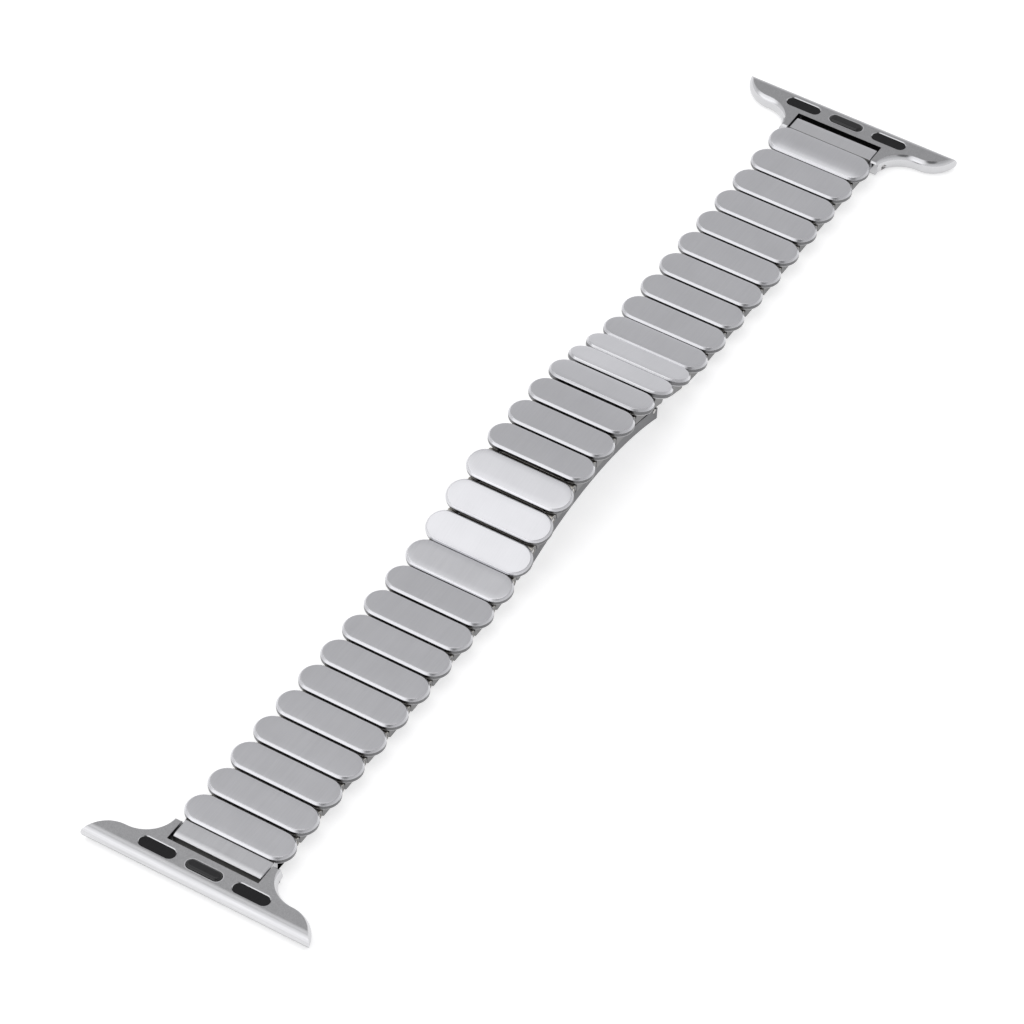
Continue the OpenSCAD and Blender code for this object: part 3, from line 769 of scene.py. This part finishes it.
def dressAdapter(side, s, cut):
    # a closed copy of the adapter's own mesh, with the edges round its outer slots cut at 45
    # degrees. An edge is a slot's where both its ends lie on the top face and on the outline:
    # sqrt(max(||y| - pitch| - straight, 0)^2 + (|x| - middle)^2) = radius
    node = body = "adapter_" + side
    work = bmesh.new()
    work.from_mesh(nodes[node].data)
    bmesh.ops.remove_doubles(work, verts=work.verts, dist=mergeReach)
    flat = [edge for edge in work.edges
            if all(abs(face.normal.z) > cut["level"] for face in edge.link_faces)]
    bmesh.ops.dissolve_limit(work, angle_limit=math.radians(cut["flatAngle"]),
                             verts=[], edges=flat)
    work.verts.index_update()
    x, y, z = np.abs(np.array([vert.co for vert in work.verts]) / mm).T
    along = np.maximum(np.abs(y - s["slotPitch"]) - s["slotStraight"], 0)
    off = np.hypot(along, x - s["slotMiddle"]) - s["slotRadius"]
    onRim = (np.abs(off) < cut["onOutline"]) & (np.abs(z - 2 * s["halfHeight"]) < cut["onTop"])
    rim = [edge for edge in work.edges
           if onRim[[vert.index for vert in edge.verts]].all()
           and edge.calc_face_angle(0) > math.radians(cut["rimAngle"])]
    bmesh.ops.bevel(work, geom=rim, offset=s["slotBevel"] * mm, segments=1, affect="EDGES")
    work.normal_update()
    for face in work.faces:
        face.smooth = True
    for edge in work.edges:
        # the flat faces keep their own shading up to where the rail and the flanks begin
        border = sum(abs(face.normal.z) > cut["level"] for face in edge.link_faces) == 1
        edge.smooth = not border and edge.calc_face_angle(0) < math.radians(cut["sharp"])
    mesh = bpy.data.meshes.new("adapterShell_" + side)
    work.to_mesh(mesh)
    work.free()
    mesh.materials.clear()
    mesh.materials.append(adapterSteel)
    piece = bpy.data.objects.new("adapterShell_" + side, mesh)
    bpy.context.scene.collection.objects.link(piece)
    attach(piece, body)
    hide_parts(node)


for side in "ab":
    dressAdapter(side, adapterSettings, cutSettings)
print("scene: adapters dressed")


# nodes that keep their own shape

nodeFinish = {
    "clasp_base": claspBaseSteel, "clasp_arm": steels["claspSteel"],
    "clasp_hinge_pin": steels["pinSteel"], "seam_pin": steels["pinSteel"],
    "catch_pin": steels["pinSteel"],
}
for side in "ab":
    nodeFinish["end_pin_" + side] = steels["pinSteel"]
    nodeFinish["grip_pads_" + side] = blacks["padRubber"]
    nodeFinish["latch_button_" + side] = blacks["latchBlack"]
    nodeFinish["latch_spring_" + side] = steels["springSteel"]
    nodeFinish["latch_plate_" + side] = steels["claspSteel"]
for name, material in nodeFinish.items():
    nodes[name].data.materials.clear()
    nodes[name].data.materials.append(material)
print("scene: other nodes finished")


# camera, floor and light

cameraSettings = {
    "turn": 29.14,          # degrees from +X towards +Y that the camera looks along
    "drop": 45.81,          # degrees below level
    "roll": 2.81,
    "distance": 654.0,
    "target": (-9.92, -0.05, 2.5),
    "focal": 4.8,           # focal length in frame widths
    "sensor": 36,
    "near": 10,             # nothing nearer than this is seen
}


def makeCamera(s):
    # it looks along (cos a cos e, sin a cos e, -sin e); right and up stand square on that,
    # turned by the roll
    a, e, roll = (math.radians(s[k]) for k in ("turn", "drop", "roll"))
    look = np.array([math.cos(a) * math.cos(e), math.sin(a) * math.cos(e), -math.sin(e)])
    right = np.array([math.sin(a), -math.cos(a), 0.0])
    up = np.cross(right, look)
    place = np.eye(4)
    place[:3, 0] = math.cos(roll) * right + math.sin(roll) * up
    place[:3, 1] = -math.sin(roll) * right + math.cos(roll) * up
    place[:3, 2] = -look
    place[:3, 3] = (np.array(s["target"]) - look * s["distance"]) * mm
    camera = bpy.data.objects.new("camera", bpy.data.cameras.new("camera"))
    bpy.context.scene.collection.objects.link(camera)
    camera.data.sensor_width = s["sensor"]
    camera.data.lens = s["sensor"] * s["focal"]
    camera.data.clip_start = s["near"] * mm
    camera.matrix_world = Matrix(place.tolist())
    bpy.context.scene.camera = camera


makeCamera(cameraSettings)

floorSettings = {
    "size": 6000,
    "level": -0.02,         # a hair under the links, so that no faces coincide
    "colour": (0.72, 0.72, 0.72, 1),
    "glow": 0.56,           # what the floor adds for the camera, so that it reads white
}


def makeFloor(s):
    # a matt square that also glows for camera and glossy rays
    half, level = s["size"] / 2 * mm, s["level"] * mm
    mesh = bpy.data.meshes.new("floor")
    corners = [(-half, -half), (half, -half), (half, half), (-half, half)]
    mesh.from_pydata([(x, y, level) for x, y in corners], [], [(0, 1, 2, 3)])
    material = bpy.data.materials.new("floorWhite")
    material.use_nodes = True
    tree = material.node_tree
    tree.nodes.clear()
    out = tree.nodes.new("ShaderNodeOutputMaterial")
    matt = tree.nodes.new("ShaderNodeBsdfDiffuse")
    matt.inputs["Color"].default_value = s["colour"]
    glow = tree.nodes.new("ShaderNodeEmission")
    path = tree.nodes.new("ShaderNodeLightPath")
    seen = worked(tree, "MAXIMUM", path.outputs["Is Camera Ray"], path.outputs["Is Glossy Ray"])
    tree.links.new(product(tree, seen, s["glow"]), glow.inputs["Strength"])
    both = tree.nodes.new("ShaderNodeAddShader")
    tree.links.new(matt.outputs["BSDF"], both.inputs[0])
    tree.links.new(glow.outputs["Emission"], both.inputs[1])
    tree.links.new(both.outputs["Shader"], out.inputs["Surface"])
    mesh.materials.append(material)
    floor = bpy.data.objects.new("floor", mesh)
    bpy.context.scene.collection.objects.link(floor)


makeFloor(floorSettings)

lampSettings = {"at": (0, 250, 700), "size": (400, 800), "watts": 0.82}


def makeLamp(s):
    # a rectangle over the band that faces its middle
    data = bpy.data.lights.new("overhead", "AREA")
    data.shape = "RECTANGLE"
    data.size, data.size_y = (v * mm for v in s["size"])
    data.energy = s["watts"]
    lamp = bpy.data.objects.new("overhead", data)
    at = np.array(s["at"]) * mm
    back = at / np.linalg.norm(at)
    side = np.cross((0.0, 1.0, 0.0), back)
    side /= np.linalg.norm(side)
    place = np.eye(4)
    for column, vector in enumerate((side, np.cross(back, side), back, at)):
        place[:3, column] = vector
    lamp.matrix_world = Matrix(place.tolist())
    bpy.context.scene.collection.objects.link(lamp)


makeLamp(lampSettings)

worldSettings = {
    "colour": (0.985, 0.985, 1.0, 1),
    "horizon": 0.92,        # strength low over the floor
    "sky": 0.62,            # strength from half way up
    "between": (0.15, 0.62),    # heights between which one passes into the other
    # broad patches in the sky: where they lie, the strength that they add there, and the
    # angles from their middle at which they begin to fade and are gone
    "patches": [
        {"toward": (-0.80, 0.37, 0.47), "adds": 0.70, "full": 14, "gone": 40},
        {"toward": (-0.609, -0.339, 0.717), "adds": -0.42, "full": 8, "gone": 22},
    ],
}


def makeWorld(s):
    # a pale studio: brighter towards the horizon, with a soft window on the left and the dim
    # place in front of the camera; each patch adds smoothstep(cos angle) times its strength
    world = bpy.data.worlds.new("studio")
    bpy.context.scene.world = world
    world.use_nodes = True
    tree = world.node_tree
    ground = tree.nodes["Background"]
    ground.inputs["Color"].default_value = s["colour"]
    direction = tree.nodes.new("ShaderNodeTexCoord").outputs["Generated"]
    strength = ranged(tree, split(tree, direction)["Z"], s["between"],
                      (s["horizon"], s["sky"]), smooth=True)
    for patch in s["patches"]:
        dot = tree.nodes.new("ShaderNodeVectorMath")
        dot.operation = "DOT_PRODUCT"
        tree.links.new(direction, dot.inputs[0])
        dot.inputs[1].default_value = Vector(patch["toward"]).normalized()
        ends = [math.cos(math.radians(patch[key])) for key in ("gone", "full")]
        adds = ranged(tree, dot.outputs["Value"], ends, (0.0, patch["adds"]), smooth=True)
        strength = worked(tree, "ADD", strength, adds)
    tree.links.new(strength, ground.inputs["Strength"])


makeWorld(worldSettings)

bpy.context.scene.view_settings.view_transform = "Standard"

print("scene: finished")
